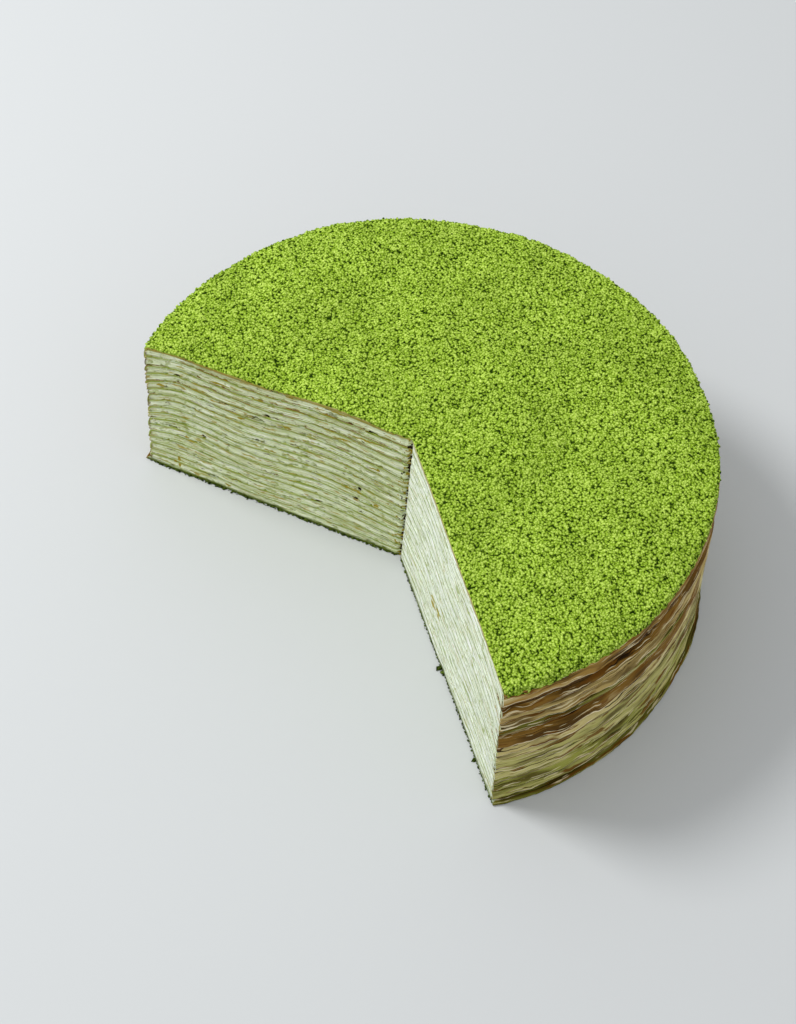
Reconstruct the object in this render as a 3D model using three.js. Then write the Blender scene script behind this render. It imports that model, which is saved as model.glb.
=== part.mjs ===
// A round cake of thin green tea pancakes stacked with whipped cream and dusted with green tea
// powder. A wide wedge has been cut out of its front, so every layer shows on two flat cuts.
// Millimetres, +Z up. The origin is the middle of the whole round on the surface it stands on,
// and the missing wedge opens towards -Y.

import * as THREE from 'three';

// The whole cake.
const CAKE_HEIGHT = 75;
const TOP_RADIUS = 112;
const BASE_FLARE = 4; // the base is this much wider than the top
const CUT_ANGLE = THREE.MathUtils.degToRad(27); // each cut meets the rim this far in front of the X axis
const CORNER_FRONT = 2.5; // how far in front of the middle the two cuts meet, at the top
const CORNER_LEAN = 3.4; // and how much further forward they meet at the base

// The layers.
const CREPES = 18;
const CREPE_THICKNESS = 1.4;
const POWDER_THICKNESS = 0.9;
const LAYER_GAP = 0.1; // keeps each cream clear of the crepes around it
const PITCH = (CAKE_HEIGHT - POWDER_THICKNESS - CREPE_THICKNESS) / (CREPES - 1);

// How the layers lie. Shares of the way out run from 0 at the inner corner to 1 at the rim.
const WAVE_HEIGHT = 1.9;
const WAVE_LENGTH = 55;
const WAVE_CREST_X = -32;
const CROSS_WAVE_LENGTH = 71;
const CROSS_WAVE_HEADING = new THREE.Vector2(0.55, -0.83);
const CROSS_WAVE_START = 1.1;
const OWN_WAVE_HEIGHT = 0.25; // each crepe's own slow wave
const OWN_WAVE_SHORTEST = 55;
const OWN_WAVE_LONGEST = 90;
const LEVEL_SPREAD = 0.2; // uneven spreading of the cream
const CORNER_DROOP = 3; // layers sag towards the corner where the cuts meet
const CORNER_DROOP_END = 0.25;
const RIM_DROOP = 5; // and bend down at the rim
const RIM_DROOP_START = 0.86;

// The outer side: every second crepe hangs over its edge like a skirt, the layers between
// are shorter, and the lowest crepe sticks out.
const SKIRT_DROPS = [2.2, 4.8, 4, 6.2, 2.2, 6.2, 2, 2.2, 6.2]; // from the second crepe up
const SKIRT_RAGGED = 0.7;
const SHOULDER_REACH = -1.9;
const SHOULDER_ROUND = 0.9;
const HEM_REACH = -1.5;
const HEM_THICKNESS = 1.3;
const HEM_RAGGED = 0.4;
const COVERED_REACH = -2.9;
const COVERED_RAGGED = 0.4;
const LOWEST_REACH = 0.6;
const LOWEST_RAGGED = 0.9;
const CREAM_SETBACK = 0.2; // cream lies this far behind the crepes on both cuts
const POWDER_REACH = -1.4;
const POWDER_RAGGED = 0.3;
const POWDER_LUMP_HEIGHT = 0.18;
const POWDER_LUMP_LENGTH = 18;

// Rings of each face from the inner corner to the rim, with finer steps under the powder.
const RING_PLACES = [0, 0.14, 0.28, 0.43, 0.58, 0.72, RIM_DROOP_START];
const RING_STEPS = [0, 2, 4, 6, 8, 12, 24];
const TOP_RING_STEPS = [0, 4, 8, 14, 18, 24, 24];
const RIM_STEPS = 24;

const CREPE_FINISH = { color: 0xc3c98c, roughness: 0.7, metalness: 0 };
const CREAM_FINISH = { color: 0xdfe6cf, roughness: 0.5, metalness: 0 };
const POWDER_FINISH = { color: 0x7ea32a, roughness: 0.95, metalness: 0 };

const { lerp } = THREE.MathUtils;
const TURN = 2 * Math.PI;

// A number from 0 to 1 that looks random but is the same each time for one whole number.
function chance(n) {
  const s = Math.sin(n * 12.9898) * 43758.5453;
  return s - Math.floor(s);
}

// An uneven edge: three sine waves around the rim, from -1 to 1, different for each seed.
function ragged(around, seed) {
  const slow = Math.sin(TURN * (2.6 * around + chance(seed)));
  const middle = Math.sin(TURN * (5.3 * around + chance(seed + 0.37)));
  const quick = Math.sin(TURN * (9.1 * around + chance(seed + 0.71)));
  return 0.45 * slow + 0.3 * middle + 0.25 * quick;
}

// A point of the cake's plan at one level. around runs from 0 at the right cut, by way of the
// back, to 1 at the left cut; out runs from 0 at the inner corner to 1 at the rim; reach is
// how far past that the point lies, and setback how far both cuts stand back.
function planPoint(around, out, level, reach = 0, setback = 0) {
  const depth = 1 - level / CAKE_HEIGHT;
  const radius = TOP_RADIUS + BASE_FLARE * depth;
  const turn = setback / radius;
  const angle = lerp(-CUT_ANGLE + turn, Math.PI + CUT_ANGLE - turn, around);
  const cornerY = -CORNER_FRONT - CORNER_LEAN * depth + setback / Math.cos(CUT_ANGLE);
  const corner = new THREE.Vector2(0, cornerY);
  const rim = new THREE.Vector2(radius * Math.cos(angle), radius * Math.sin(angle));
  return corner.lerp(rim, out + reach / corner.distanceTo(rim));
}

// Height of one crepe's underside. The lowest lies flat; the others share two long waves,
// which are strongest half way up, and each adds a slow wave and a level of its own.
function crepeHeight(crepe, around, out, reach = 0) {
  if (crepe === 0) {
    return 0;
  }
  const level = crepe * PITCH;
  const high = level / CAKE_HEIGHT;
  const arch = Math.sin(Math.PI * high ** 0.8);
  const swell = arch + 0.35 * high;
  const place = planPoint(around, Math.min(out, RIM_DROOP_START), CAKE_HEIGHT);

  const long = Math.cos((TURN * (place.x - WAVE_CREST_X)) / WAVE_LENGTH);
  const cross = Math.cos((TURN * place.dot(CROSS_WAVE_HEADING)) / CROSS_WAVE_LENGTH + CROSS_WAVE_START);
  const lift = WAVE_HEIGHT * (0.7 * long + 0.3 * cross) * swell;

  const heading = TURN * chance(crepe);
  const along = place.x * Math.cos(heading) + place.y * Math.sin(heading);
  const ownLength = lerp(OWN_WAVE_SHORTEST, OWN_WAVE_LONGEST, chance(crepe + 0.5));
  const own = OWN_WAVE_HEIGHT * Math.sin((TURN * along) / ownLength);
  const spread = LEVEL_SPREAD * (2 * chance(crepe + 0.25) - 1);

  const sag = CORNER_DROOP * swell * Math.max(0, 1 - out / CORNER_DROOP_END) ** 2;
  const margin = Math.max(0, out + reach / TOP_RADIUS - RIM_DROOP_START) / (1 - RIM_DROOP_START);
  const droop = RIM_DROOP * (0.6 * arch + 0.45 * high) * margin;
  return level + lift + own + spread - sag - droop;
}

// One face of a layer as rings of points from the inner corner to the rim. steps counts the
// steps of each ring, heightAt gives the face's height, each edge is one more ring at the rim
// with a reach and a drop of its own, and bump adds relief.
function faceRings(steps, level, setback, heightAt, edges, bump = () => 0) {
  const pointAt = (around, out, reach, drop) => {
    const { x, y } = planPoint(around, out, level, reach, setback);
    return new THREE.Vector3(x, y, heightAt(around, out, reach) - drop + bump(x, y));
  };
  const ring = (count, place) => {
    return Array.from({ length: count + 1 }, (_, i) => place(count === 0 ? 0.5 : i / count));
  };
  const inside = steps.map((count, k) => {
    return ring(count, (around) => pointAt(around, RING_PLACES[k], 0, 0));
  });
  const outside = edges.map(({ reach, drop = () => 0 }) => {
    return ring(RIM_STEPS, (around) => pointAt(around, 1, reach(around), drop(around)));
  });
  return [...inside, ...outside];
}

// A closed solid between two faces: strips of triangles between neighbouring rings, and
// walls between the two faces' borders along both cuts and the rim.
function solidBetween(lowerRings, upperRings) {
  const points = [];
  const triangles = [];
  const numbered = (rings) => rings.map((ring) => ring.map((point) => points.push(point) - 1));
  const lower = numbered(lowerRings);
  const upper = numbered(upperRings);

  // Fills the strip between two rows of points, stepping along whichever row is behind.
  const fillStrip = (a, b, flip = false) => {
    let i = 0;
    let j = 0;
    while (i < a.length - 1 || j < b.length - 1) {
      const nextA = i < a.length - 1 ? (i + 1) / (a.length - 1) : Infinity;
      const nextB = j < b.length - 1 ? (j + 1) / (b.length - 1) : Infinity;
      const corner = nextB <= nextA ? b[j + 1] : a[i + 1];
      triangles.push(...(flip ? [b[j], a[i], corner] : [a[i], b[j], corner]));
      if (nextB <= nextA) {
        j += 1;
      } else {
        i += 1;
      }
    }
  };
  for (let k = 1; k < upper.length; k += 1) {
    fillStrip(upper[k - 1], upper[k]);
  }
  for (let k = 1; k < lower.length; k += 1) {
    fillStrip(lower[k - 1], lower[k], true);
  }
  const rightCut = (rings) => rings.map((ring) => ring[0]);
  const leftCut = (rings) => rings.map((ring) => ring[ring.length - 1]);
  fillStrip(upper[upper.length - 1], lower[lower.length - 1]);
  fillStrip(rightCut(upper), rightCut(lower));
  fillStrip(leftCut(upper), leftCut(lower), true);

  const geometry = new THREE.BufferGeometry().setFromPoints(points);
  geometry.setIndex(triangles);
  geometry.computeVertexNormals();
  return geometry;
}

function layerMesh(name, geometry, finish) {
  const mesh = new THREE.Mesh(geometry, new THREE.MeshStandardMaterial(finish));
  mesh.name = name;
  return mesh;
}

const ringSteps = (crepe) => (crepe === CREPES - 1 ? TOP_RING_STEPS : RING_STEPS);

const numberedName = (kind, index) => `${kind}_${String(index + 1).padStart(2, '0')}`;

// A crepe is an even sheet. Odd ones, counted from 0 at the bottom, turn down over the rim.
function crepeMesh(crepe) {
  const level = crepe * PITCH;
  const hangs = crepe % 2 === 1;
  const covered = (around) => COVERED_REACH + COVERED_RAGGED * ragged(around, crepe);
  const lowest = (around) => LOWEST_REACH + LOWEST_RAGGED * ragged(around, crepe);
  const hem = (around) => HEM_REACH + HEM_RAGGED * ragged(around, crepe + 40);
  const drop = (around) => SKIRT_DROPS[(crepe - 1) / 2] + SKIRT_RAGGED * ragged(around, crepe);
  const plainEdge = [{ reach: crepe === 0 ? lowest : covered }];
  const lowerEdges = [
    { reach: () => SHOULDER_REACH },
    { reach: hem, drop: (around) => drop(around) - CREPE_THICKNESS },
  ];
  const upperEdges = [
    { reach: () => SHOULDER_REACH + SHOULDER_ROUND },
    { reach: (around) => hem(around) + HEM_THICKNESS, drop },
  ];
  const under = (around, out, reach) => crepeHeight(crepe, around, out, reach);
  const over = (around, out, reach) => under(around, out, reach) + CREPE_THICKNESS;
  const top = level + CREPE_THICKNESS;
  const steps = ringSteps(crepe);
  return layerMesh(
    numberedName('crepe', crepe),
    solidBetween(
      faceRings(steps, level, 0, under, hangs ? lowerEdges : plainEdge),
      faceRings(steps, top, 0, over, hangs ? upperEdges : plainEdge),
    ),
    CREPE_FINISH,
  );
}

// A cream fills the room between one crepe and the next, and stops short of the rim.
function creamMesh(crepe) {
  const edge = [{ reach: (around) => COVERED_REACH + COVERED_RAGGED * ragged(around, crepe + 80) }];
  const under = (around, out, reach) => {
    return crepeHeight(crepe, around, out, reach) + CREPE_THICKNESS + LAYER_GAP;
  };
  const over = (around, out, reach) => crepeHeight(crepe + 1, around, out, reach) - LAYER_GAP;
  return layerMesh(
    numberedName('cream', crepe),
    solidBetween(
      faceRings(ringSteps(crepe), crepe * PITCH + CREPE_THICKNESS, CREAM_SETBACK, under, edge),
      faceRings(ringSteps(crepe + 1), (crepe + 1) * PITCH, CREAM_SETBACK, over, edge),
    ),
    CREAM_FINISH,
  );
}

// The powder is a thin lumpy coat over the top crepe, up to where that turns down.
function powderMesh() {
  const crepe = CREPES - 1;
  const edge = [{ reach: (around) => POWDER_REACH + POWDER_RAGGED * ragged(around, 120) }];
  const under = (around, out, reach) => {
    return crepeHeight(crepe, around, out, reach) + CREPE_THICKNESS + LAYER_GAP;
  };
  const over = (around, out, reach) => under(around, out, reach) + POWDER_THICKNESS - LAYER_GAP;
  const lumps = (x, y) => {
    const [east, north] = [x, y].map((side) => (TURN * side) / POWDER_LUMP_LENGTH);
    const rows = Math.sin(east + 2 * Math.sin(0.4 * north));
    const files = Math.cos(0.8 * north + 2 * Math.sin(0.5 * east));
    return POWDER_LUMP_HEIGHT * rows * files;
  };
  const top = CAKE_HEIGHT - POWDER_THICKNESS;
  return layerMesh(
    'matcha_powder',
    solidBetween(
      faceRings(TOP_RING_STEPS, top, 0, under, edge),
      faceRings(TOP_RING_STEPS, CAKE_HEIGHT, 0, over, edge, lumps),
    ),
    POWDER_FINISH,
  );
}

const cake = new THREE.Group();
for (let crepe = 0; crepe < CREPES; crepe += 1) {
  cake.add(crepeMesh(crepe));
  if (crepe < CREPES - 1) {
    cake.add(creamMesh(crepe));
  }
}
cake.add(powderMesh());

export default cake;
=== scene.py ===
# A round green tea crepe cake with a wide wedge cut out of its front: eighteen thin pancakes with
# whipped cream between them, under a coat of green tea powder.
# Sizes are in millimetres and become Blender's metres where a mesh is made. +Z is up, the origin is
# the middle of the whole round on the surface it stands on, and the missing wedge opens towards -Y.
from functools import partial
from math import radians

import bpy
import numpy as np
from mathutils import Matrix, Vector


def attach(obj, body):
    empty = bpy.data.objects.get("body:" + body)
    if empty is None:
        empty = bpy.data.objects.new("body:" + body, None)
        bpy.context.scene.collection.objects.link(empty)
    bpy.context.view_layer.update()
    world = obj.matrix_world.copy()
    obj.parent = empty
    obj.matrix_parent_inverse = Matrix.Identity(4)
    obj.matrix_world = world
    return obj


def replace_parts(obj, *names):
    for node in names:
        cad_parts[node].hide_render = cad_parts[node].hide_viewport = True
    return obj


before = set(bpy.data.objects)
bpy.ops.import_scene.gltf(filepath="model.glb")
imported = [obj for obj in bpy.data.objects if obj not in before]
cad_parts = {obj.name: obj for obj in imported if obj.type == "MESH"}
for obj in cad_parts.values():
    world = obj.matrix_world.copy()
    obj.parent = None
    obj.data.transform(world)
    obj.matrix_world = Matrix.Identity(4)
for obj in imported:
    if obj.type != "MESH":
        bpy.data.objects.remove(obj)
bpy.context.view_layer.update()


# ---- Crepes ----
# Thin green tea pancakes, fried on one side until they brown in patches, and stacked one by one
# with cream. Every second one is wide enough to hang over the rim like a skirt, and the lowest
# sticks out at the base. One knife cut on each side goes through all of them.

MM = 0.001
CAKE_HEIGHT = 75.0
TOP_RADIUS = 112.0
BASE_FLARE = 4.0  # the base is this much wider than the top
CUT_ANGLE = radians(27)  # each cut meets the rim this far in front of the X axis
CORNER_FRONT = 2.5  # how far in front of the middle the two cuts meet, at the top
CORNER_LEAN = 3.4  # and how much further forward they meet at the base

CREPES = sum(name.startswith("crepe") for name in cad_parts)
CREPE_THICKNESS = 1.4
POWDER_THICKNESS = 0.9
PITCH = (CAKE_HEIGHT - POWDER_THICKNESS - CREPE_THICKNESS) / (CREPES - 1)

WAVE_HEIGHT = 1.9
WAVE_LENGTH = 55.0
WAVE_CREST_X = -32.0
CROSS_WAVE_LENGTH = 71.0
CROSS_WAVE_HEADING = (0.55, -0.83)
CROSS_WAVE_START = 1.1
OWN_WAVE_HEIGHT = 0.35  # each crepe's own slow wave
OWN_WAVE_SHORTEST = 55.0
OWN_WAVE_LONGEST = 90.0
LEVEL_SPREAD = 0.2
CORNER_DROOP = 3.0
CORNER_DROOP_END = 0.25
RIM_DROOP = 6.0
RIM_DROOP_START = 0.86
RIM_DROOP_CURVE = 1.5
RIPPLE_HEIGHT = 0.6  # small uneven ripples of a limp pancake
THICKNESS_CHANGE = 0.55  # batter runs thicker and thinner

SKIRT_DROPS = (2.2, 4.8, 4.0, 6.2, 2.2, 6.2, 2.0, 2.2, 6.2)  # from the second crepe up
SKIRT_RAGGED = 0.7
SKIRT_TORN = 1.1  # short tears and nicks of the hem
SKIRT_CREASE = 0.35
BEND_START = 2.6  # a hanging crepe starts to bend this far inside the rim
BEND_SAVED = 1.0  # and the way along its bend is this much shorter than out and then down
SHOULDER_REACH = -0.4
SHOULDER_THICKNESS = 1.3
HEM_REACH = -1.6
HEM_THICKNESS = 1.2
HEM_RAGGED = 0.4
COVERED_REACH = -2.0  # where a hanging crepe covers the layer
OPEN_REACH = -0.9  # and where it doesn't
COVERED_RAGGED = 0.3
CUT_FILL = 0.5  # by a cut the covered layers reach this much further out
SKIN_WIDTH = 9.0  # a hanging crepe shows its skin this far in from its hem
LOWEST_REACH = 0.6
LOWEST_RAGGED = 0.9
LOWEST_TORN = 0.3

CUT_COLUMNS = 208  # points along each cut
RIM_COLUMNS = 401  # and along the rim
CORNER_CROWDING = 1.12  # above 1, those of a cut lie closer together by the inner corner
COARSER = 8  # the hidden middle of a layer has this many times fewer points around
WHOLE_TURN = 2 * np.pi


def chance(n):
    """A number from 0 to 1 that looks random: the fraction left of a large multiple of a sine."""
    value = np.sin(n * 12.9898) * 43758.5453
    return value - np.floor(value)


def ragged(around, seed):
    """An uneven edge from -1 to 1: the sum of three sine waves around the rim."""
    slow = np.sin(WHOLE_TURN * (2.6 * around + chance(seed)))
    middle = np.sin(WHOLE_TURN * (5.3 * around + chance(seed + 0.37)))
    quick = np.sin(WHOLE_TURN * (9.1 * around + chance(seed + 0.71)))
    return 0.45 * slow + 0.3 * middle + 0.25 * quick


def hills(x, y, size, seed):
    """Smooth random heights from -1 to 1: a random number at each corner of a square net with
    this mesh size, and between them a blend along both sides by the curve 3t^2 - 2t^3."""
    table = np.random.default_rng(seed).uniform(-1, 1, (128, 128))
    column, row = np.floor(x / size).astype(int), np.floor(y / size).astype(int)
    right, up = x / size - column, y / size - row
    right, up = right**2 * (3 - 2 * right), up**2 * (3 - 2 * up)
    low = table[row % 128, column % 128] * (1 - right) + table[row % 128, (column + 1) % 128] * right
    high = table[(row + 1) % 128, column % 128] * (1 - right)
    high = high + table[(row + 1) % 128, (column + 1) % 128] * right
    return low * (1 - up) + high * up


def smooth_step(value, low, high):
    """0 below low, 1 above high, and the curve 3t^2 - 2t^3 between."""
    t = np.clip((value - low) / (high - low), 0, 1)
    return t * t * (3 - 2 * t)


def corner_y(level):
    """How far along Y the two cuts meet at one level."""
    return -CORNER_FRONT - CORNER_LEAN * (1 - level / CAKE_HEIGHT)


def plan_point(around, out, level):
    """A point of the cake's plan at one level: out of the way from the inner corner to the rim,
    which is met at an angle that runs evenly from the right cut by way of the back to the left."""
    radius = TOP_RADIUS + BASE_FLARE * (1 - level / CAKE_HEIGHT)
    angle = -CUT_ANGLE + around * (np.pi + 2 * CUT_ANGLE)
    corner = corner_y(level)
    return out * radius * np.cos(angle), corner + out * (radius * np.sin(angle) - corner)


def way_out(around, level):
    """How far it is from the inner corner to the rim."""
    x, y = plan_point(around, 1.0, level)
    return np.hypot(x, y - corner_y(level))


def crepe_under(crepe, around, out):
    """Height of a crepe's underside: its level, two long waves that all crepes share and that are
    strongest half way up, a slow wave and ripples of its own, less a sag at the inner corner and
    a bend down at the rim. The lowest crepe lies flat."""
    if crepe == 0:
        return np.zeros_like(around * out)
    level = crepe * PITCH
    high = level / CAKE_HEIGHT
    arch = np.sin(np.pi * high**0.8)
    swell = arch + 0.35 * high
    x, y = plan_point(around, np.minimum(out, RIM_DROOP_START), CAKE_HEIGHT)

    long = np.cos(WHOLE_TURN * (x - WAVE_CREST_X) / WAVE_LENGTH)
    east, north = CROSS_WAVE_HEADING
    cross = np.cos(WHOLE_TURN * (x * east + y * north) / CROSS_WAVE_LENGTH + CROSS_WAVE_START)
    lift = WAVE_HEIGHT * (0.7 * long + 0.3 * cross) * swell

    heading = WHOLE_TURN * chance(crepe)
    own_length = OWN_WAVE_SHORTEST + (OWN_WAVE_LONGEST - OWN_WAVE_SHORTEST) * chance(crepe + 0.5)
    own = np.sin(WHOLE_TURN * (x * np.cos(heading) + y * np.sin(heading)) / own_length)
    spread = LEVEL_SPREAD * (2 * chance(crepe + 0.25) - 1)
    ripples = 0.7 * hills(x, y, 13, crepe) + 0.3 * hills(x, y, 5, crepe + 30)

    sag = CORNER_DROOP * swell * np.maximum(0, 1 - out / CORNER_DROOP_END) ** 2
    margin = np.maximum(0, out - RIM_DROOP_START) / (1 - RIM_DROOP_START)
    droop = RIM_DROOP * np.sin(np.pi * high**1.6) ** 0.6 * margin**RIM_DROOP_CURVE
    return level + lift + OWN_WAVE_HEIGHT * own + spread + RIPPLE_HEIGHT * ripples - sag - droop


def crepe_over(crepe, around, out):
    """Height of a crepe's top: its underside and a thickness that changes from place to place."""
    x, y = plan_point(around, out, CAKE_HEIGHT)
    change = 0.6 * hills(x, y, 9, crepe + 60) + 0.4 * hills(x, y, 4, crepe + 90)
    return crepe_under(crepe, around, out) + CREPE_THICKNESS + THICKNESS_CHANGE * change


def border():
    """The way round a layer's edge: out along the right cut, round the rim and back along the left
    cut, as two lists: the share of the way around, and the share of the way out from the inner
    corner, where the points lie closer together."""
    share = np.linspace(0, 1, CUT_COLUMNS + 1)[:-1] ** CORNER_CROWDING
    around = np.concatenate([0 * share, np.linspace(0, 1, RIM_COLUMNS), 0 * share[1:] + 1])
    out = np.concatenate([share, np.ones(RIM_COLUMNS), share[:0:-1]])
    return around, out


AROUND, OUT = border()
ON_RIM = OUT == 1
ON_RIGHT = (AROUND == 0) & ~ON_RIM
ON_LEFT = (AROUND == 1) & ~ON_RIM
RIM_LENGTH = TOP_RADIUS * (np.pi + 2 * CUT_ANGLE)
FROM_CORNER = TOP_RADIUS * OUT
ALONG = np.where(ON_LEFT, RIM_LENGTH + 2 * TOP_RADIUS - FROM_CORNER, FROM_CORNER + RIM_LENGTH * AROUND)


def facing():
    """Which way the cut looks at each point of the border, and nothing on the rim: the way from
    the inner corner to the rim, turned by a right angle."""
    x, y = plan_point(AROUND, 1.0, CAKE_HEIGHT / 2)
    ways = np.stack([y - corner_y(CAKE_HEIGHT / 2), -x, 0 * x], 1)
    ways *= np.where(ON_LEFT, -1, 1)[:, None] / np.linalg.norm(ways, axis=1, keepdims=True)
    ways[ON_RIM] = 0
    ways[0] = [0, -1, 0]
    return ways


FACING = facing()


def torn(around, seed):
    """Short tears and nicks of an edge, from -1 to 1, as hills of 4.5 mm and 1.8 mm."""
    along = around * RIM_LENGTH
    return 0.6 * hills(along, 0 * along, 4.5, seed) + 0.4 * hills(along, 0 * along, 1.8, seed + 30)


def skirt_drop(crepe, around):
    """How far below its top at the rim a hanging crepe ends."""
    uneven = SKIRT_RAGGED * ragged(around, crepe) + SKIRT_TORN * torn(around, crepe + 200)
    return SKIRT_DROPS[crepe // 2] + uneven


def by_a_cut(around):
    """1 in the rim's last millimetres before the right cut and its last centimetres before the
    left one, where the knife has pressed the layers together, and 0 over the rest of the rim."""
    return np.maximum(1 - smooth_step(around, 0.002, 0.007), smooth_step(around, 0.95, 0.99))


def flat_reach(level, around, seed):
    """How far past the rim a layer that doesn't hang ends at one level: further in behind the
    nearest hanging crepe above it, and further out below that crepe's hem."""
    pitches = (level - CREPE_THICKNESS) / PITCH + 0.01
    hanging = 2 * int((pitches + 1) // 2) + 1
    below = hanging * PITCH + CREPE_THICKNESS - level - skirt_drop(hanging, around)
    open_share = smooth_step(below, -0.2, 1.0)
    uneven = COVERED_RAGGED * (ragged(around, seed) + torn(around, seed + 200))
    covered = COVERED_REACH + CUT_FILL * by_a_cut(around)
    return covered + (OPEN_REACH - covered) * open_share + uneven


def lowest_reach(around):
    """How far past the rim the lowest crepe ends."""
    return LOWEST_REACH + LOWEST_RAGGED * ragged(around, 0) + LOWEST_TORN * torn(around, 200)


class FlatSheet:
    """One face of a layer that ends at its edge: a place for each share of the way around and each
    distance from the edge. height gives how high it lies, and reach how far past the rim it ends."""

    def __init__(self, level, height, reach):
        self.level, self.height, self.reach = level, height, reach

    def length(self, around):
        return way_out(around, self.level) + self.reach(around)

    def place(self, around, from_edge):
        out = 1 + (self.reach(around) - from_edge) / way_out(around, self.level)
        x, y = plan_point(around, out, self.level)
        return np.stack([x, y, self.height(around, out)], axis=-1)


class HangingSheet:
    """One face of a crepe that hangs over the rim. Its last stretch follows the curve that three
    points control: where it starts to bend, the shoulder at the rim, and the hem, which is drop
    below the shoulder's height. Creases move both faces in and out together."""

    def __init__(self, level, height, shoulder, hem, drop, hem_level, seed):
        self.level, self.height, self.shoulder = level, height, shoulder
        self.hem, self.drop, self.hem_level, self.seed = hem, drop, hem_level, seed

    def bend_length(self, around):
        return BEND_START - BEND_SAVED + self.drop(around)

    def length(self, around):
        return way_out(around, self.level) - BEND_START + self.bend_length(around)

    def place(self, around, from_edge):
        whole, bend = way_out(around, self.level), self.bend_length(around)
        t = np.clip(1 - from_edge / bend, 0, 1)
        inside = -BEND_START - np.maximum(0, from_edge - bend)
        crease = SKIRT_CREASE * t * hills(around * RIM_LENGTH, from_edge, 5, self.seed)
        reach = (1 - t) ** 2 * inside + 2 * t * (1 - t) * self.shoulder + t**2 * self.hem(around) + crease
        start = self.height(around, 1 + inside / whole)
        shoulder = self.height(around, 1 + self.shoulder / whole)
        z = (1 - t) ** 2 * start + 2 * t * (1 - t) * shoulder + t**2 * self.hem_level(around)
        x, y = plan_point(around, 1 + reach / whole, self.level)
        return np.stack([x, y, z], axis=-1)


def stitch(first, second):
    """Triangles between two closed rows of point numbers. Rows of one length are joined by
    squares cut in two. Where one row has a whole number of times more points than the other,
    each of its points goes to the nearest of the other row."""
    if len(first) == len(second):
        after, next_after = np.roll(first, -1), np.roll(second, -1)
        halves = np.stack([first, second, next_after], 1), np.stack([first, next_after, after], 1)
        return np.concatenate(halves)
    fine, coarse = (first, second) if len(first) > len(second) else (second, first)
    times = len(fine) // len(coarse)
    nearest = coarse[((np.arange(len(fine)) + times // 2) // times) % len(coarse)]
    fans = np.stack([fine, nearest, np.roll(fine, -1)], 1)
    halfway = np.roll(fine, -(times - times // 2))[::times]
    caps = np.stack([halfway, coarse, np.roll(coarse, -1)], 1)
    triangles = np.concatenate([fans, caps])
    return triangles if fine is first else triangles[:, ::-1]


def closed_skin(rows):
    """Points and triangles of a closed skin from closed rows of points, which run from near the
    middle of its top, out over the edge and back to the middle of its underside. A point in the
    middle of the first row and one in the middle of the last close it."""
    points = np.concatenate([*rows, rows[0].mean(0, keepdims=True), rows[-1].mean(0, keepdims=True)])
    starts = np.cumsum([0] + [len(row) for row in rows[:-1]])
    numbers = [start + np.arange(len(row)) for start, row in zip(starts, rows)]
    first, last = numbers[0], numbers[-1]
    top_fan = np.stack([0 * first + len(points) - 2, first, np.roll(first, -1)], 1)
    bottom_fan = np.stack([0 * last + len(points) - 1, np.roll(last, -1), last], 1)
    strips = [stitch(row, after) for row, after in zip(numbers[:-1], numbers[1:])]
    return points, np.concatenate([top_fan, *strips, bottom_fan])


def make_piece(name, points, triangles, material, shares, uv=None):
    """A mesh object from points in millimetres and triangles of their numbers. shares are named
    lists of one number at each point. Where a triangle crosses the line at which U starts again,
    its corners past that line get the far end of U."""
    mesh = bpy.data.meshes.new(name)
    mesh.from_pydata((points * MM).tolist(), [], triangles.tolist())
    if uv is not None:
        corners = uv[triangles]
        end = uv[:, 0].max()
        crosses = corners[..., 0].max(1) - corners[..., 0].min(1) > end / 2
        corners[..., 0] += end * (crosses[:, None] & (corners[..., 0] < end / 2))
        mesh.uv_layers.new(name="Along").data.foreach_set("uv", (corners * MM).ravel())
    for share, values in shares.items():
        mesh.attributes.new(share, "FLOAT", "POINT").data.foreach_set("value", np.asarray(values, float))
    mesh.shade_smooth()
    mesh.materials.append(material)
    piece = bpy.data.objects.new(name, mesh)
    bpy.context.scene.collection.objects.link(piece)
    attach(piece, "root")
    return piece


# Holes in the left cut where the cream has not filled up: how far each is from the inner corner,
# how high it lies, its length and its height.
AIR_GAPS = (
    (87, 72.4, 5, 1.0), (52, 73.0, 9, 0.8), (16.5, 68.7, 4, 1.0), (98, 62.5, 3, 1.3), (59, 57.0, 4, 1.0),
    (78, 55.3, 6, 1.1), (64, 53.0, 7, 1.0), (102, 28.6, 6, 1.0), (87.5, 29.7, 2, 1.6), (74, 30.4, 2, 1.4),
    (63, 40.0, 5, 1.0), (82.6, 25.7, 2.2, 1.2), (39, 38.0, 2, 1.1), (19.5, 32.4, 1.6, 2.2),
    (21, 26.0, 3.5, 1.5), (36, 15.0, 4, 1.0), (28, 18.6, 3, 0.9), (101, 18.0, 4, 0.9),
    (82, 5.6, 5, 1.1), (45, 49.0, 3, 0.7), (33, 71.0, 5, 0.7), (92, 45.5, 2.5, 0.8),
    (56, 22.5, 3, 0.8), (70, 12.0, 2.4, 0.9),
)
# Streaks of browned or egg-rich batter on the left cut, given in the same way.
OCHRE_MARKS = (
    (18, 63.2, 17, 0.9), (28, 59.3, 9, 0.9), (80, 66.0, 9, 0.9), (62, 64.8, 5, 1.0), (51, 54.0, 4, 1.2),
    (71, 50.0, 3.4, 1.1), (106, 53.0, 4, 1.6), (30, 73.2, 8, 1.0), (95, 38.0, 4, 0.9), (99, 6.5, 1.4, 8.0),
    (95, 25.0, 2.4, 1.1), (58, 36.0, 6, 0.9), (24, 31.0, 4, 1.1), (12, 26.0, 2.4, 1.2), (77, 3.2, 3, 1.2),
    (88, 58.0, 6, 0.8), (40, 44.0, 7, 0.8), (68, 28.0, 8, 0.8), (14, 48.0, 5, 0.9),
)
OCHRE_SPOTS = ((38, 22.2, 4.4, 5.5), (44, 23.6, 4.0, 3.5))  # the only ones on the right cut
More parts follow.
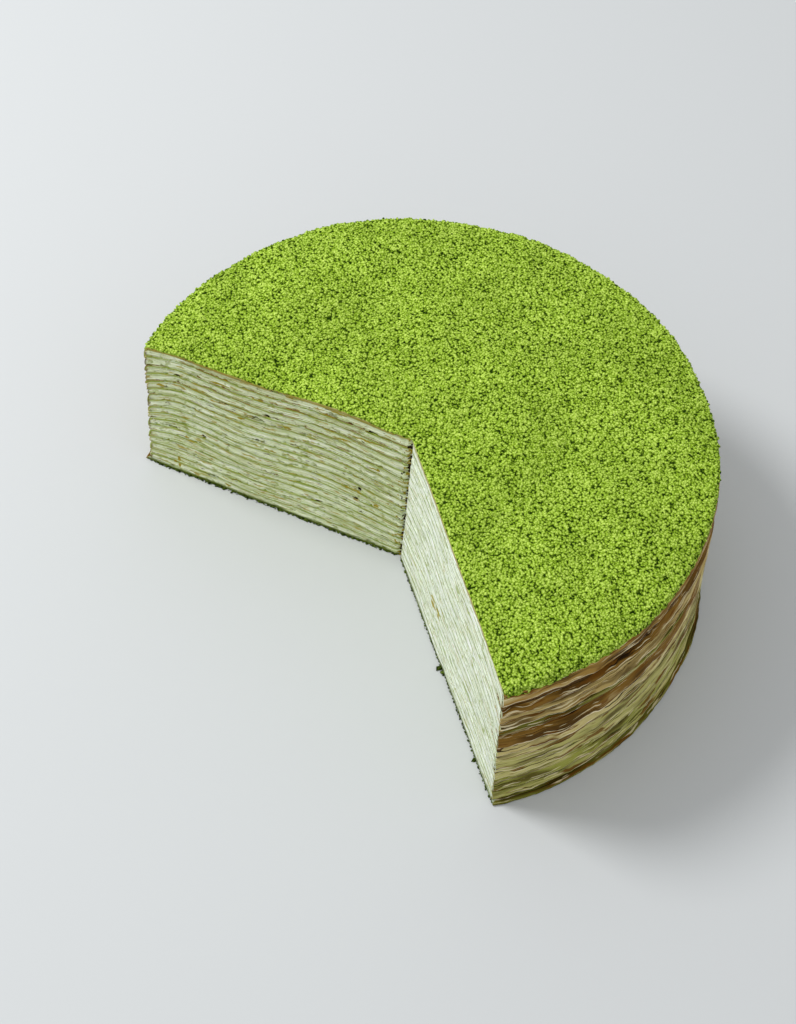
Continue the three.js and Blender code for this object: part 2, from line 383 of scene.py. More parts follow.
GAP_DEPTH = 1.4
SEAM_DEPTH = 1.2  # the slit where the two cuts meet
SEAM_WIDTH = 0.8
CRUMBLY_WIDTH = 9.0  # the left cut is crumbly this far from the slit
RELIEF_REACH = 3.0  # the relief of the cuts carries on this far into the layers


def marks(places, along, z, soft):
    """How far inside any of these marks a point is, from 0 to 1. Each mark is an ellipse with a
    wavering middle line, and its edge is soft over the given share of its size."""
    total = 0 * along * z
    for number, (distance, height, length, thick) in enumerate(places):
        waver = 0.3 * hills(along, 0 * along + number, 1.3, 20)
        size = np.hypot((along - distance) / (length / 2), (z - height - waver) / (thick / 2))
        total = np.maximum(total, 1 - smooth_step(size, 1 - soft, 1 + soft))
    return total


def cut_relief(z, smear, stand):
    """How far a cut face stands out: the layer's own stand, less of it in patches of 12 by 4 mm
    that the knife smeared level, drag lines along the layers, low slow bulges and small pits, most
    of them on the left cut, crumbs and holes on that cut alone, and the slit at the corner."""
    along = FROM_CORNER
    stand = stand * (0.1 + 0.9 * smooth_step(hills(along / 3, z, 4, 13), -0.5, 0.4))
    lines = 0.5 * hills(along, z, 0.9, 7) + 0.5 * hills(along / 5, z, 0.45, 8)
    bulges = hills(along, z, 7, 9)
    crumbly = smooth_step(CRUMBLY_WIDTH - along, 0, CRUMBLY_WIDTH) * ON_LEFT
    crumbs = np.maximum(0, hills(along, z, 1.1, 10)) * crumbly
    pits = smooth_step(hills(along / 2, z, 0.7, 11), 0.5, 0.8) * (0.2 + 0.8 * ON_LEFT)
    seam = SEAM_DEPTH * np.exp(-((along / SEAM_WIDTH) ** 2)) * (0.75 + 0.25 * hills(z, 0 * z, 3, 12))
    gaps = GAP_DEPTH * marks(AIR_GAPS, along, z, 0.25) * ON_LEFT
    return stand + smear * lines + 0.1 * bulges + 0.5 * crumbs - 0.6 * pits - seam - gaps


def specks(z, seed, least):
    """Where the knife has dragged specks of crumb into the slit and over the left cut beside it:
    where random hills of 0.9 mm rise above a least height, which is higher further from the slit.
    In the slit itself, half a millimetre wide, the hills stand on a ridge."""
    ridge = 0.7 * np.exp(-((FROM_CORNER / 0.45) ** 2))
    height = hills(FROM_CORNER, z, 0.9, seed) + ridge - FROM_CORNER / np.where(ON_LEFT, 11, 2)
    return smooth_step(height, least, least + 0.2) * ~ON_RIM


# The colour of each layer's edge at the rim, from the lowest crepe and the cream on it to the top
# crepe: 0 is moss green, 0.25 pale green, 0.5 cream, 0.75 tan and 1 deep brown.
RIM_TONES = (
    0.05, 0.2, 0.3, 0.15, 0.05, 0.35, 0.25, 0.4, 0.2, 0.4, 0.36, 0.1, 0.0, 0.12, 0.35, 0.5, 0.45, 0.52,
    0.56, 0.95, 1.0, 0.97, 0.85, 0.92, 0.1, 0.67, 0.65, 0.7, 0.64, 0.95, 0.85, 0.95, 0.85, 0.9, 0.73,
)


# What each point of a layer carries for its material: how far up the edge it is, whether it is at
# the rim or on the right cut, how far inside an ochre mark, a hole or a torn hem, and its tone.
SHARES = ("across", "outer", "right", "ochre", "hole", "lip", "tone")
WALL_V = 3.5  # V spans this much over the edge
LAYER_V = 14.0  # and moves on by this much from layer to layer
FINE_PULL = 12.0  # rows further in than this have fewer points
DRAWN_IN = 0.45  # how far in from the inner corner a row is, as a share of its pull
TURNED_IN = 0.45  # and how far in from both cuts, as a share of the way around, at a pull of 78 mm
EDGE_ROUNDING = 0.45
# The pale torn hem is partly the torn edge's own colour and partly a painted highlight along it.
LIP_WIDTH = 0.8  # a torn hem is pale about this far in


def layer_piece(name, node, sheets, hangs, wall, pulls, material, smear, stand, band, coarser):
    """A closed layer between two sheets. Its rows run out over its top, down the edge wall and back
    under it. Each inner row is the border drawn in from the rim and from the inner corner by so
    many millimetres, and from both cuts by a share of the way around. On the cuts the wall has
    relief, and on the rim it is rounded. U runs along the border and V across it."""
    lower, upper = sheets
    rows, uv = [], []
    shares = {share: [] for share in SHARES}

    def keep(points, u, v, **values):
        values["tone"] = RIM_TONES[band]
        rows.append(points)
        uv.append(np.stack([u, v + LAYER_V * band], 1))
        for share, kept in shares.items():
            kept.append(0 * u + values.get(share, 0))

    def face_row(sheet, pull):
        every = coarser if pull > FINE_PULL else 1
        turn = TURNED_IN * (pull / 78) ** 1.2
        turned = turn + (1 - 2 * turn) * np.where(OUT == 0, 0.5, AROUND)[::every]
        from_edge = pull + (1 - OUT[::every]) * (sheet.length(turned) - (1 + DRAWN_IN) * pull)
        points = sheet.place(turned, from_edge)
        hole = 0
        if 0 < pull < RELIEF_REACH:
            hole = marks(AIR_GAPS, FROM_CORNER, points[:, 2], 0.5) * ON_LEFT
            relief = (1 - pull / RELIEF_REACH) * cut_relief(points[:, 2], smear, stand)
            points += relief[:, None] * FACING
        outer = from_edge < SKIN_WIDTH if hangs else ON_RIM[::every]
        shown = {"outer": outer, "hole": hole, "right": ON_RIGHT[::every]}
        return points, TOP_RADIUS + RIM_LENGTH * turned, from_edge, shown

    high_edge, low_edge = face_row(upper, 0)[0], face_row(lower, 0)[0]
    outward = high_edge + low_edge - face_row(upper, 0.4)[0] - face_row(lower, 0.4)[0]
    outward /= np.linalg.norm(outward, axis=1, keepdims=True) + 1e-9

    for pull in reversed(pulls):
        points, u, from_edge, shown = face_row(upper, pull)
        keep(points, u, WALL_V + from_edge, across=1, lip=hangs * np.exp(-from_edge / LIP_WIDTH), **shown)
    for side in wall:
        edge = side * high_edge + (1 - side) * low_edge
        z = edge[:, 2]
        rounding = EDGE_ROUNDING * 4 * side * (1 - side) * ON_RIM[:, None] * outward
        ochre, hole = (marks(places, FROM_CORNER, z, 0.5) * ON_LEFT for places in (OCHRE_MARKS, AIR_GAPS))
        ochre = np.maximum(ochre, marks(OCHRE_SPOTS, FROM_CORNER, z, 0.5) * ON_RIGHT)
        keep(
            edge + cut_relief(z, smear, stand)[:, None] * FACING + rounding, ALONG, 0 * z + WALL_V * side,
            across=side, outer=ON_RIM, right=ON_RIGHT, lip=hangs * ON_RIM,
            ochre=np.maximum(ochre, specks(z, 21, 0.35)), hole=np.maximum(hole, specks(z, 22, 0.45)),
        )
    for pull in pulls:
        points, u, from_edge, shown = face_row(lower, pull)
        keep(points, u, -from_edge, across=0, **shown)

    points, triangles = closed_skin(rows)
    values = {share: np.concatenate([*kept, kept[0][:1], kept[-1][:1]]) for share, kept in shares.items()}
    uv = np.concatenate(uv + [uv[0][:1], uv[-1][:1]])
    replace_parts(make_piece(name, points, triangles, material, values, uv), node)


def linear(colour):
    """An sRGB colour, as hex digits, as the linear values that Blender takes."""
    parts = [int(colour[i:i + 2], 16) / 255 for i in (1, 3, 5)]
    return [*(p / 12.92 if p <= 0.04045 else ((p + 0.055) / 1.055) ** 2.4 for p in parts), 1.0]


def add_node(material, kind, inputs=(), stops=(), output=0, **settings):
    """Adds one node to a material and returns one of its outputs. inputs pairs each input with a
    value, a colour or the output that feeds it, stops gives a colour ramp's places and colours or
    greys, and settings are the node's own."""
    node = material.node_tree.nodes.new("ShaderNode" + kind)
    for setting, value in settings.items():
        setattr(node, setting, value)
    for key, value in dict(inputs).items():
        if isinstance(value, bpy.types.NodeSocket):
            material.node_tree.links.new(value, node.inputs[key])
        else:
            node.inputs[key].default_value = linear(value) if isinstance(value, str) else value
    for number, (place, colour) in enumerate(stops):
        elements = node.color_ramp.elements
        element = elements[number] if number < len(elements) else elements.new(1.0)
        element.position = place
        element.color = linear(colour) if isinstance(colour, str) else (colour, colour, colour, 1)
    return node.outputs[output]


def streaks(add, along, length, height):
    """Random shares from 0 to 1, in streaks of a length and a height in metres along the layers.
    Here and below, add is add_node for one material."""
    drawn = add("Mapping", {"Vector": along, "Scale": (1 / length, 1 / height, 1)})
    return add("TexNoise", {"Vector": drawn, "Scale": 1.0, "Detail": 3.0})


def crisp(add, mark, ragged_by):
    """A mark with a crisp ragged edge, from a soft one and a pattern that makes it ragged."""
    uneven = add("Math", {0: ragged_by, 1: 0.6, 2: -0.3}, operation="MULTIPLY_ADD")
    shifted = add("Math", {0: mark, 1: uneven})
    return add("ValToRGB", {0: shifted}, ((0.42, 0.0), (0.54, 1.0)))


def caught_marks(add, along, right):
    """Coats for a cut: duller stretches of a layer, dark marks where air was caught, which are
    painted shade of tiny air pockets, and ochre flecks of egg, all of them fainter on the right
    cut, and green specks on both."""
    fewer = add("MapRange", {0: right, 3: 1.0, 4: 0.6})
    coats = []
    for length, height, stops, coat in (
        (0.03, 0.012, ((0.5, 0.0), (0.62, 0.3)), "#9a9a3c"),
        # Painted shade of tiny air pockets.
        (0.006, 0.0009, ((0.63, 0.0), (0.66, 0.9)), "#4f3a12"),
        (0.007, 0.0016, ((0.595, 0.0), (0.64, 0.85)), "#a8942c"),
    ):
        share = add("ValToRGB", {0: streaks(add, along, length, height)}, stops)
        coats.append((add("Math", {0: share, 1: fewer}, operation="MULTIPLY"), coat))
    # Specks of powder and crumb, 3 mm wide, that the knife has rubbed over all the layers.
    place = add("TexCoord", output="Object")
    rubbed = add("TexNoise", {"Vector": place, "Scale": 1 / 0.003, "Detail": 3.0})
    rubbed = add("ValToRGB", {0: rubbed}, ((0.6, 0.0), (0.68, 0.6)))
    return [*coats, (rubbed, "#8f9f42")]


def rim_colour(add, along, across, tone, lip):
    """The colour of a layer's edge at the rim, by its tone: worn darker and lighter in patches of
    30 mm by 3.5 mm, with rusty patches, a painted shade line along its foot that comes and goes, a
    few dark cracks, pale flakes, and a pale torn hem that is partly a painted highlight."""
    stops = ((0.0, "#5c5b14"), (0.25, "#9c9e4a"), (0.5, "#d4c98a"), (0.75, "#9c7631"), (1.0, "#4c3006"))
    colour = add("ValToRGB", {0: tone}, stops)
    wear = streaks(add, along, 0.03, 0.0035)
    cracks = streaks(add, along, 0.03, 0.0007)
    flakes = streaks(add, along, 0.012, 0.0009)
    rust = streaks(add, along, 0.016, 0.0024)
    # Painted shade: a dark line along the foot of each layer's edge and under its hem, broken up by the
    # cracks.
    painted_foot_shade = add("Math", {0: cracks, 1: 1.5, 2: across}, operation="MULTIPLY_ADD")
    # The pale torn hem is partly the torn edge's own colour and partly a painted highlight along it.
    frayed_hem_highlight = add("Math", {0: lip, 1: flakes}, operation="MULTIPLY")
    for pattern, stops, coat in (
        (wear, ((0.38, 0.75), (0.52, 0.0)), "#3c2604"),
        (wear, ((0.56, 0.0), (0.7, 0.5)), "#dccf96"),
        (rust, ((0.57, 0.0), (0.62, 0.85)), "#6c440e"),
        (painted_foot_shade, ((0.72, 0.9), (0.95, 0.0)), "#241603"),
        (cracks, ((0.37, 0.95), (0.4, 0.0)), "#1f1001"),
        (flakes, ((0.6, 0.0), (0.64, 0.7)), "#ece0b4"),
        (frayed_hem_highlight, ((0.36, 0.0), (0.48, 0.9)), "#efe2bc"),
    ):
        share = add("ValToRGB", {0: pattern}, stops)
        colour = add("Mix", {0: share, 6: colour, 7: coat}, output=2, data_type="RGBA")
    return colour, cracks


def new_material(name, roughness, specular, subsurface=0.0):
    """A material named for its finish, with what is the same all over, and add_node for it."""
    material = bpy.data.materials.new(name)
    material.use_nodes = True
    shader = material.node_tree.nodes["Principled BSDF"]
    shader.inputs["Roughness"].default_value = roughness
    shader.inputs["Specular IOR Level"].default_value = specular
    shader.inputs["Subsurface Weight"].default_value = subsurface
    shader.inputs["Subsurface Radius"].default_value = (0.003, 0.003, 0.0015)
    return material, partial(add_node, material)


def finished(material, colour, pattern, strength, depth):
    """The material with this colour, and with the bump of a pattern so many metres deep."""
    shader = material.node_tree.nodes["Principled BSDF"]
    bump = add_node(material, "Bump", {"Height": pattern, "Strength": strength, "Distance": depth})
    material.node_tree.links.new(colour, shader.inputs["Base Color"])
    material.node_tree.links.new(bump, shader.inputs["Normal"])
    return material


def layer_inputs(add):
    """What the material of a layer reads: its UV map and the shares of its points."""
    shares = (add("Attribute", output="Fac", attribute_name=share) for share in SHARES)
    return add("UVMap", uv_map="Along"), *shares


def pancake():
    # Green tea pancake: flour, egg and milk, set soft. Where it was cut it is a dull yellow green
    # with fine lines, smeared with cream at its edges. The side that met the pan has a thin skin,
    # browned in patches, which is tan where the crepe is old and dry at the rim.
    material, add = new_material("Fried green tea pancake", 0.6, 0.05, 0.08)
    along, across, outer, right, ochre, hole, lip, tone = layer_inputs(add)
    high = add("SeparateXYZ", {0: add("TexCoord", output="Object")}, output="Z")
    # Lines of the batter, and patches where more or less cream was smeared over them.
    lines = streaks(add, along, 0.008, 0.0005)
    patches = streaks(add, along, 0.014, 0.004)
    # The left cut lies in shade and takes a warmer, yellower copy of these colours, and the lit right cut a
    # cooler one: painted shade and light, on one and the same pancake.
    shaded_left_tones = ((0.3, "#63751c"), (0.5, "#93a444"), (0.7, "#c8d28c"))
    lit_right_tones = ((0.3, "#5f7330"), (0.5, "#8a9d5c"), (0.7, "#bdc89e"))
    shaded_left_tones, lit_right_tones = (add("ValToRGB", {0: lines}, tones) for tones in (shaded_left_tones, lit_right_tones))
    shifted = add("Math", {0: lines, 1: 0.7, 2: across}, operation="MULTIPLY_ADD")
    shifted = add("Math", {0: patches, 1: 1.5, 2: shifted}, operation="MULTIPLY_ADD")
    shifted = add("Math", {0: shifted, 1: 0.5, 2: -0.15}, operation="MULTIPLY_ADD")
    little = ((0.425, 1.0), (0.525, 0.0), (0.75, 0.0), (0.875, 1.0))
    much = ((0.46, 1.0), (0.54, 0.05), (0.72, 0.05), (0.82, 1.0))
    little, much = (add("ValToRGB", {0: shifted}, edges) for edges in (little, much))
    smeared = add("Mix", {0: right, 2: little, 3: much})
    # The cream smeared over the cut is yellower on the shaded left cut and whiter on the lit right cut:
    # painted shade and light.
    cream = add("Mix", {0: right, 6: "#d8e5c0", 7: "#e8f0e0"}, output=2, data_type="RGBA")
    # The browned skin of the upper side, in patches 24 mm long, more of it in the upper crepes.
    browned = add("ValToRGB", {0: streaks(add, along, 0.024, 0.003)}, ((0.47, 0.0), (0.53, 1.0)))
    upper = add("ValToRGB", {0: across}, ((0.55, 0.0), (0.75, 1.0)))
    older = add("MapRange", {0: high, 1: 0.03, 2: 0.066, 3: 0.1, 4: 0.95})
    left = add("MapRange", {0: right, 3: 1.0, 4: 0.0})
    for share in (upper, older, left):
        browned = add("Math", {0: browned, 1: share}, operation="MULTIPLY")
    # The top crepe is tan right through under the damp powder. The lowest one is dark green, most
    # of all at its foot: partly tea powder and crumbs, partly painted shade where it meets the floor.
    tanned = add("MapRange", {0: high, 1: 0.0715, 2: 0.0727, 3: 0.0, 4: 0.75})
    powder_and_foot_shade = add("MapRange", {0: high, 1: 0.001, 2: 0.0024, 3: 0.85, 4: 0.0})
    skin, cracks = rim_colour(add, along, across, tone, lip)
    ochre, hole = (crisp(add, mark, lines) for mark in (ochre, hole))
    colour = shaded_left_tones
    # Holes are painted near black, which is painted shade inside them; dark specks of crumb take the same
    # colour.
    for share, coat in (
        (right, lit_right_tones), (smeared, cream), (browned, "#7a5b1a"), *caught_marks(add, along, right),
        (tanned, "#a18c3e"), (powder_and_foot_shade, "#4b5a17"), (outer, skin), (ochre, "#98892a"), (hole, "#2a1c06"),
    ):
        colour = add("Mix", {0: share, 6: colour, 7: coat}, output=2, data_type="RGBA")
    return finished(material, colour, cracks, 0.4, 0.0006)


PANCAKE = pancake()
# How far in from its edge each row of a layer's faces lies, and how far up its edge each row there.
FLAT_PULLS = (0.1, 1.5, 5.0, 10.0, 18.0, 34.0, 54.0, 74.0)
HANGING_PULLS = (0.1, 0.7, 1.4, 2.2, 3.1, 4.1, 5.2, 6.4, 7.8, 10.0, 18.0, 34.0, 54.0, 74.0)
TOP_PULLS = (*HANGING_PULLS[:10], 14.0, 18.0, 23.0, 28.0, 34.0, 40.0, 47.0, 54.0, 61.0, 68.0, 74.0)
CREPE_WALL = (1.0, 0.8, 0.5, 0.2, 0.0)


def crepe_piece(crepe):
    """One crepe, hanging over the rim if it is an odd one, counted from 0."""
    level = crepe * PITCH
    top = level + CREPE_THICKNESS
    number = f"{crepe + 1:02d}"
    under, over, drop = (partial(rule, crepe) for rule in (crepe_under, crepe_over, skirt_drop))

    def hem(around):
        return HEM_REACH + HEM_RAGGED * ragged(around, crepe + 40)

    def outer_hem(around):
        return hem(around) + HEM_THICKNESS

    def hem_level(around):
        return over(around, 1 + SHOULDER_REACH / TOP_RADIUS) - drop(around)

    hangs = crepe % 2 == 1
    if hangs:
        inner_shoulder = SHOULDER_REACH - SHOULDER_THICKNESS
        lower = HangingSheet(level, under, inner_shoulder, hem, drop, hem_level, crepe)
        upper = HangingSheet(top, over, SHOULDER_REACH, outer_hem, drop, hem_level, crepe)
        pulls = HANGING_PULLS
    else:
        lower, upper = (
            FlatSheet(at, height, partial(flat_reach, at, seed=crepe) if crepe else lowest_reach)
            for at, height in ((level, under), (top, over))
        )
        pulls = FLAT_PULLS
    # The top crepe carries the powder, so it is fine all over.
    topmost = crepe == CREPES - 1
    layer_piece(
        f"Pancake_{number}", f"crepe_{number}", (lower, upper), hangs, CREPE_WALL,
        TOP_PULLS if topmost else pulls, PANCAKE, smear=0.1, stand=0.05, band=2 * crepe,
        coarser=2 if topmost else COARSER,
    )


for crepe in range(CREPES):
    crepe_piece(crepe)


# ---- Cream ----
# Whipped cream with a little green tea, spread between the crepes with a palette knife. It stops
# short of the rim, and the knife has dragged it a little back and smeared it along both cuts.

LAYER_GAP = 0.02
CREAM_SETBACK = 0.2
RIM_SETBACK = 0.2  # the cream ends this far behind the crepes at the rim
DRIED_SETBACK = 0.9  # and so much further where it has dried deep brown
CREAM_WALL = (1.0, 0.9, 0.76, 0.62, 0.48, 0.34, 0.18, 0.0)


def whipped_cream():
    # Whipped cream: fat and tiny air bubbles, so it is soft, pale and slightly translucent. It
    # takes up some green from the crepes, and dries olive and brown where it meets the air at the rim.
    material, add = new_material("Whipped green tea cream", 0.5, 0.08, 0.2)
    along, across, outer, right, ochre, hole, lip, tone = layer_inputs(add)
    # Smears drawn by the knife.
    smears = streaks(add, along, 0.012, 0.0006)
    # The left cut lies in shade and takes a yellower copy of these colours, and the lit right cut a whiter
    # one: painted shade and light, on one and the same cream.
    shaded_left_tones = ((0.3, "#bccb88"), (0.5, "#e2eac2"), (0.65, "#f9fbe8"))
    lit_right_tones = ((0.32, "#b9c6a2"), (0.5, "#e2e9da"), (0.68, "#fbfcf9"))
    shaded_left_tones, lit_right_tones = (add("ValToRGB", {0: smears}, tones) for tones in (shaded_left_tones, lit_right_tones))
    # Threads of crepe that the knife drew out over the cream, and green from above and below.
    threads = streaks(add, along, 0.028, 0.0008)
    threads = add("ValToRGB", {0: threads}, ((0.58, 0.0), (0.64, 0.75)))
    shifted = add("Math", {0: smears, 1: 0.8, 2: across}, operation="MULTIPLY_ADD")
    shifted = add("Math", {0: shifted, 1: 0.5}, operation="MULTIPLY")
    edges = ((0.2, 0.7), (0.28, 0.0), (0.62, 0.0), (0.7, 0.7))
    tinted = add("ValToRGB", {0: shifted}, edges)
    # The green is yellower on the shaded left cut and paler on the lit right cut: painted shade and light.
    green = add("Mix", {0: right, 6: "#a3b160", 7: "#c6d4a8"}, output=2, data_type="RGBA")
    rim = rim_colour(add, along, across, tone, lip)[0]
    ochre, hole = (crisp(add, mark, smears) for mark in (ochre, hole))
    colour = shaded_left_tones
    # Holes are painted near black, which is painted shade inside them; dark specks of crumb take the same
    # colour.
    for share, coat in (
        (right, lit_right_tones), (threads, green), (tinted, green), *caught_marks(add, along, right),
        (outer, rim), (ochre, "#a3942c"), (hole, "#2a1c06"),
    ):
        colour = add("Mix", {0: share, 6: colour, 7: coat}, output=2, data_type="RGBA")
    return finished(material, colour, smears, 0.5, 0.0003)


CREAM = whipped_cream()


def cream_piece(crepe):
    """The cream between one crepe and the next."""
    number = f"{crepe + 1:02d}"

    def under(around, out):
        return crepe_over(crepe, around, out) + LAYER_GAP

    def over(around, out):
        return crepe_under(crepe + 1, around, out) - LAYER_GAP

    low, high = crepe * PITCH + CREPE_THICKNESS, (crepe + 1) * PITCH

    def setback(around):
        dried = DRIED_SETBACK * RIM_TONES[2 * crepe + 1]
        return RIM_SETBACK + dried * (1 - by_a_cut(around))

    def reach(level):
        return lambda around: flat_reach(level, around, crepe + 80) - setback(around)

    sheets = FlatSheet(low, under, reach(low)), FlatSheet(high, over, reach(high))
    layer_piece(
        f"Cream_layer_{number}", f"cream_{number}", sheets, False, CREAM_WALL, FLAT_PULLS,
        CREAM, smear=0.16, stand=-CREAM_SETBACK, band=2 * crepe + 1, coarser=COARSER,
    )


for crepe in range(CREPES - 1):
    cream_piece(crepe)


# ---- Green tea powder ----
# Finely ground green tea, sieved over the top crepe. It draws damp from below and lies in soft
# crumbs, so the coat is a thin lumpy skin that thins out over the shoulder of the crepe.

POWDER_REACH = -0.9
POWDER_RAGGED = 0.25
POWDER_LUMP_HEIGHT = 0.18
POWDER_LUMP_LENGTH = 18.0
POWDER_CENTRE = np.array([0.0, 40.0])  # every point of the top can be seen from here
POWDER_COLUMNS = 1024
POWDER_ROWS = 60
LUMPS_SUNK = 0.35  # the coat lies this much lower under its small lumps
EDGE_FALL = 0.45
COAT_DEPTH = 0.8
TOP_CREPE = CREPES - 1


def ray_shares(x, y):
    """Which share of the way around and of the way out a plan point of the top lies at: the ray
    from the inner corner through it is run on to the rim's circle."""
    corner = corner_y(CAKE_HEIGHT)
    distance = np.hypot(x, y - corner) + 1e-9
    east, north = x / distance, (y - corner) / distance
    toward = corner * north
    whole = -toward + np.sqrt(toward**2 - corner**2 + TOP_RADIUS**2)
    angle = np.arctan2(corner + whole * north, whole * east)
    angle = np.where(angle < -np.pi / 2, angle + WHOLE_TURN, angle)
    return np.clip((angle + CUT_ANGLE) / (np.pi + 2 * CUT_ANGLE), 0, 1), distance / whole


def shoulder_fall(out):
    """How far the top crepe has bent down at one share of the way out: its drop times the square
    of the share t of its bending curve, found from the curve's reach at each t."""
    t = np.linspace(0, 1, 50)
    reach = -BEND_START * (1 - t) ** 2 + 2 * t * (1 - t) * SHOULDER_REACH + t**2 * (HEM_REACH + HEM_THICKNESS)
    return SKIRT_DROPS[-1] * np.interp((out - 1) * TOP_RADIUS, reach, t, left=0.0) ** 2


def lumps(x, y, size, seed):
    """Rounded lumps from 0 to 1 with sharp clefts between them, where the hills cross zero."""
    return np.minimum(1, 1.8 * np.abs(hills(x, y, size, seed)))


def powder_lumps(x, y):
    """How high the coat's small lumps stand, about 2.6 and 1.5 mm wide."""
    slant_x, slant_y = 0.8 * x + 0.6 * y, 0.8 * y - 0.6 * x
    return 0.25 * lumps(x, y, 2.6, 301) + 0.3 * lumps(slant_x, slant_y, 1.5, 302)


def powder_swell(x, y):
    """A slow swell of the coat, where the sieve let more powder or less through."""
    east, north = WHOLE_TURN * x / POWDER_LUMP_LENGTH, WHOLE_TURN * y / POWDER_LUMP_LENGTH
    swell = np.sin(east + 2 * np.sin(0.4 * north)) * np.cos(0.8 * north + 2 * np.sin(0.5 * east))
    return POWDER_LUMP_HEIGHT * swell


def powder_height(x, y):
    """Height of the coat's surface over one plan point."""
    around, out = ray_shares(x, y)
    crepe = crepe_over(TOP_CREPE, around, np.minimum(out, 1 - BEND_START / TOP_RADIUS))
    relief = powder_swell(x, y) + powder_lumps(x, y) - LUMPS_SUNK
    return crepe + POWDER_THICKNESS + relief - shoulder_fall(out)


def tea_powder(name, dark, middle, light):
    # Stone-ground tea leaf: dry and matt, painted lighter on the tips of its crumbs and deep green
    # between them: painted light and shade.
    material, add = new_material(name, 0.95, 0.08)
    place = add("TexCoord", output="Object")
    height = add("Attribute", output="Fac", attribute_name="height")
    # Round crumbs about 0.9 mm wide: coarser than ground tea, so that they show on a whole cake.
    # Each is bumped, and painted lighter in its middle and darker at its edge: painted light and shade.
    wander = add("TexNoise", {"Vector": place, "Scale": 1 / 0.002, "Detail": 2.0}, output="Color")
    shifted = add("Mix", {0: 0.0009, 6: place, 7: wander}, output=2, data_type="RGBA")
    cells = add("TexVoronoi", {"Vector": shifted, "Scale": 1 / 0.0009}, output="Distance")
    crumbs = add("MapRange", {0: cells, 1: 0.85, 2: 0.1})
    # Where the coat lies low between its lumps it is painted darker: painted shade. The grains' tones are
    # random.
    shown = add("Math", {0: height, 1: crumbs})
    shown = add("Math", {0: shown, 1: 0.5}, operation="MULTIPLY")
    tones = add("ValToRGB", {0: shown}, ((0.24, dark), (0.42, middle), (0.75, light)))
    # Darker in random patches about 25 mm wide.
    slow_patches = add("TexNoise", {"Vector": place, "Scale": 1 / 0.025, "Detail": 2.0})
    darker_patches = add("ValToRGB", {0: slow_patches}, ((0.35, 0.12), (0.6, 0.0)))
    colour = add("Mix", {0: darker_patches, 6: tones, 7: dark}, output=2, data_type="RGBA")
    return finished(material, colour, crumbs, 0.8, 0.0005)


POWDER = tea_powder("Ground green tea", "#1c3400", "#8db029", "#d6f074")


def powder_coat():
    """The coat as a closed skin. The rows of its top are the border drawn in towards one point,
    with half as many points each time their size has halved. An edge and an underside close it."""
    share = np.linspace(0, 1, POWDER_COLUMNS, endpoint=False) * (2 * TOP_RADIUS + RIM_LENGTH)
    around = np.clip((share - TOP_RADIUS) / RIM_LENGTH, 0, 1)
    out = np.minimum(1, np.minimum(share, 2 * TOP_RADIUS + RIM_LENGTH - share) / TOP_RADIUS)
    uneven = 0.5 * hills(share, 0 * share, 2.5, 310) + 0.5 * hills(share, 0 * share, 1.1, 311)
    reach = POWDER_REACH + POWDER_RAGGED * ragged(around, 120) + 0.3 * uneven
    edge = np.stack(plan_point(around, out * (1 + reach / TOP_RADIUS), CAKE_HEIGHT), 1)

    rows, height = [], []
    every = 1
    while POWDER_COLUMNS // every >= 32:
        steps = POWDER_ROWS // every
        for size in np.linspace(1 / every, 0.5 / every, steps, endpoint=False):
            plan = POWDER_CENTRE + size * (edge[::every] - POWDER_CENTRE)
            z = powder_height(plan[:, 0], plan[:, 1]) - EDGE_FALL * smooth_step(size, 0.985, 1.0)
            rows.insert(0, np.column_stack([plan, z]))
            # How light the coat is painted at each point: lighter on its lumps and darker between them,
            # painted light and shade.
            height.insert(0, 0.15 + 0.9 * powder_lumps(plan[:, 0], plan[:, 1]))
        every *= 2
    floor = rows[-1][:, 2] - COAT_DEPTH
    rows.append(np.column_stack([edge, rows[-1][:, 2] - COAT_DEPTH / 2]))
    rows.append(np.column_stack([edge, floor]))
    rows.append(np.column_stack([POWDER_CENTRE + 0.9 * (edge[::8] - POWDER_CENTRE), floor[::8]]))
    points, triangles = closed_skin(rows)
    painted_pit_shade = np.concatenate([*height, height[-1], height[-1], height[-1][::8], [0.5, 0.5]])
    piece = make_piece("Powder_coat", points, triangles, POWDER, {"height": painted_pit_shade})
    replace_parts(piece, "matcha_powder")


powder_coat()


# ---- Grains and clumps of powder ----
# Loose grains of tea and small clumps that the sieve let through. They lie evenly spread over the
# coat, sunk a little into it.

SUNK_SHARE = 0.2  # of its own size
OUTERMOST = 0.991  # how much of the way out they lie at most
FROM_CUTS = 0.001  # and how much of the way around they keep from both cuts
# 1 over the root of x^3 = x + 1, and its square: steps that spread points evenly over a square.
EVEN_STEPS = (0.7548776662, 0.5698402910)

